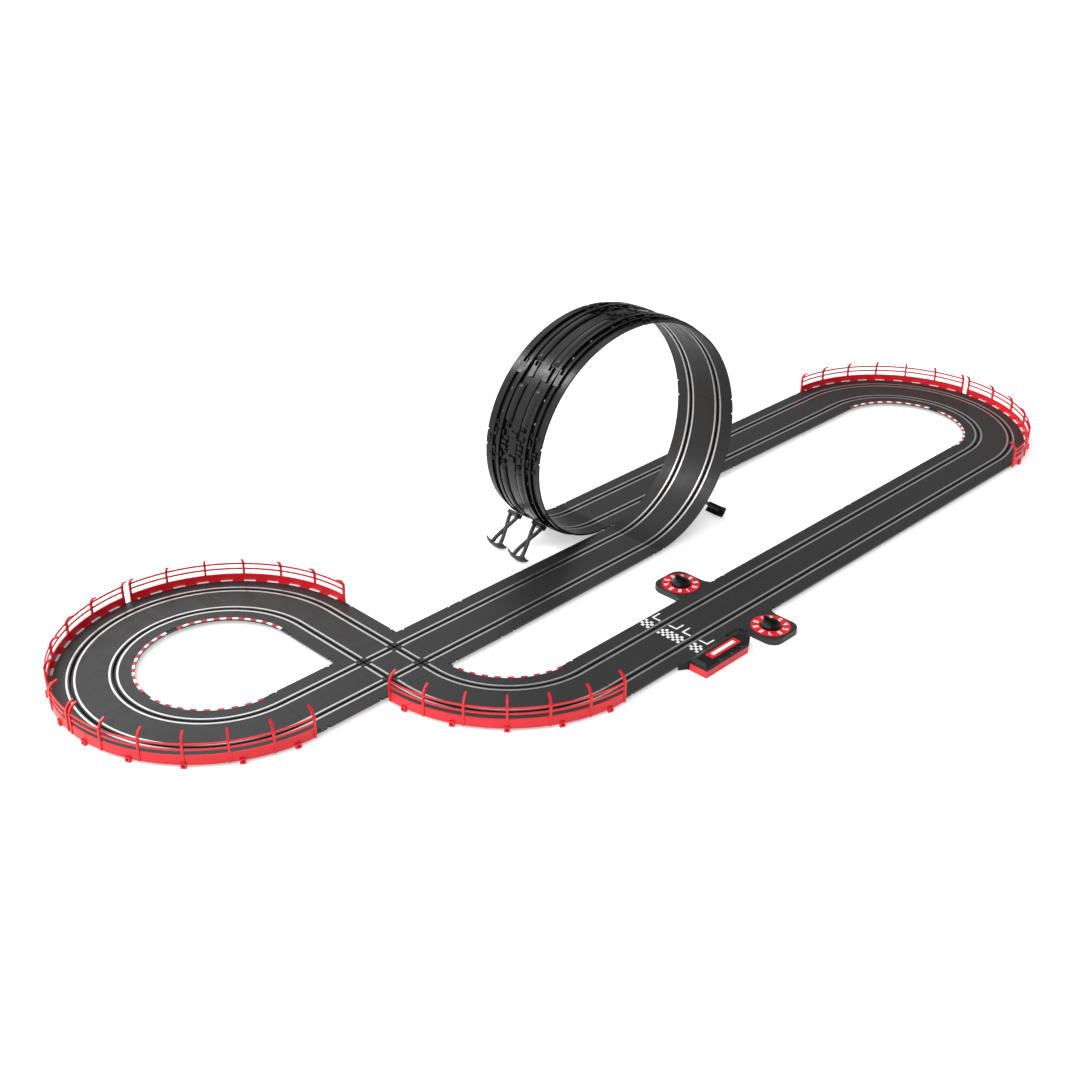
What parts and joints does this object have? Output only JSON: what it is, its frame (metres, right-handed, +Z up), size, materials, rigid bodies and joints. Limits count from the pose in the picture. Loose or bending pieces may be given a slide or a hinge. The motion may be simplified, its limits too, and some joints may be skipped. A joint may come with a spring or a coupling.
{
  "type": "slot car track set",
  "caption": "Two-lane slot car track with a crossing, flat curves with red guard fences, lap counters, a terminal box and a vertical loop.",
  "frame": {"origin": "on the floor under the middle of the crossing tile", "axes": "+X along the long straights towards the loop and the right-hand turn, +Y across the layout towards the left-hand loop, +Z up"},
  "size_m": [1.8313, 0.7481, 0.3807],
  "materials": {
    "road_plastic": "fine moulded grain, satin",
    "black_plastic": "moulded, satin",
    "dial_plastic": "smooth, glossy",
    "red_plastic": "moulded, satin",
    "rail_metal": "rolled, bright",
    "red_print": "printed strip",
    "white_print": "printed strip",
    "contact_brass": "bright",
    "screw_steel": "plain"
  },
  "bodies": {
    "track_set": {"crossing_tile": "road_plastic", "connecting_track": "road_plastic", "short_straight_back": "road_plastic", "short_straight_left": "road_plastic", "short_straight_right": "road_plastic", "straight_near": "road_plastic", "straight_far_1": "road_plastic", "straight_far_2": "road_plastic", "straight_front_1": "road_plastic", "straight_front_2": "road_plastic", "curve_left_1": "road_plastic", "curve_left_2": "road_plastic", "curve_left_3": "road_plastic", "curve_lower": "road_plastic", "curve_right_1": "road_plastic", "curve_right_2": "road_plastic", "loop_segment_1": "road_plastic", "loop_segment_2": "road_plastic", "loop_segment_3": "road_plastic", "loop_segment_4": "road_plastic", "rails_crossing": "rail_metal", "rails_left_loop": "rail_metal", "rails_near": "rail_metal", "rails_lower_curve": "rail_metal", "rails_front": "rail_metal", "rails_far": "rail_metal", "rails_right_turn": "rail_metal", "rails_loop": "rail_metal", "kerb_red": "red_print", "kerb_white": "white_print", "fence_left_1": "red_plastic", "fence_left_2": "red_plastic", "fence_left_3": "red_plastic", "fence_lower": "red_plastic", "fence_right_1": "red_plastic", "fence_right_2": "red_plastic", "joining_clips": "black_plastic", "support_left_far": "black_plastic", "support_left_near": "black_plastic", "support_right_near": "black_plastic", "support_right_far": "black_plastic", "counter_ring_inner": "red_plastic", "counter_numerals_inner": "white_print", "counter_ring_outer": "red_plastic", "counter_numerals_outer": "white_print", "terminal_base": "red_plastic", "terminal_cover": "black_plastic", "terminal_sockets": "dial_plastic", "terminal_label": "red_plastic", "terminal_label_bar": "white_print", "terminal_contacts": "contact_brass", "terminal_screws": "screw_steel", "start_line_print": "white_print"},
    "dial_inner": {"counter_dial_inner": "dial_plastic", "counter_ratchet_inner": "black_plastic"},
    "lever_inner": {"counter_lever_inner": "black_plastic"},
    "dial_outer": {"counter_dial_outer": "dial_plastic", "counter_ratchet_outer": "black_plastic"},
    "lever_outer": {"counter_lever_outer": "black_plastic"}
  },
  "joints": [
    {"name": "dial_inner_turn", "type": "hinge", "parent": "track_set", "child": "dial_inner", "pos_m": [0.456, -0.143, 0.009], "axis": [0, 0, 1], "continuous": true},
    {"name": "lever_inner_trip", "type": "hinge", "parent": "track_set", "child": "lever_inner", "pos_m": [0.456, -0.18, 0.0045], "axis": [0, 0, 1], "range_deg": [-9, 9], "stiffness_Nm_per_rad": 0.002},
    {"name": "dial_outer_turn", "type": "hinge", "parent": "track_set", "child": "dial_outer", "pos_m": [0.456, -0.313, 0.009], "axis": [0, 0, 1], "continuous": true},
    {"name": "lever_outer_trip", "type": "hinge", "parent": "track_set", "child": "lever_outer", "pos_m": [0.456, -0.276, 0.0045], "axis": [0, 0, 1], "range_deg": [-9, 9], "stiffness_Nm_per_rad": 0.002}
  ]
}
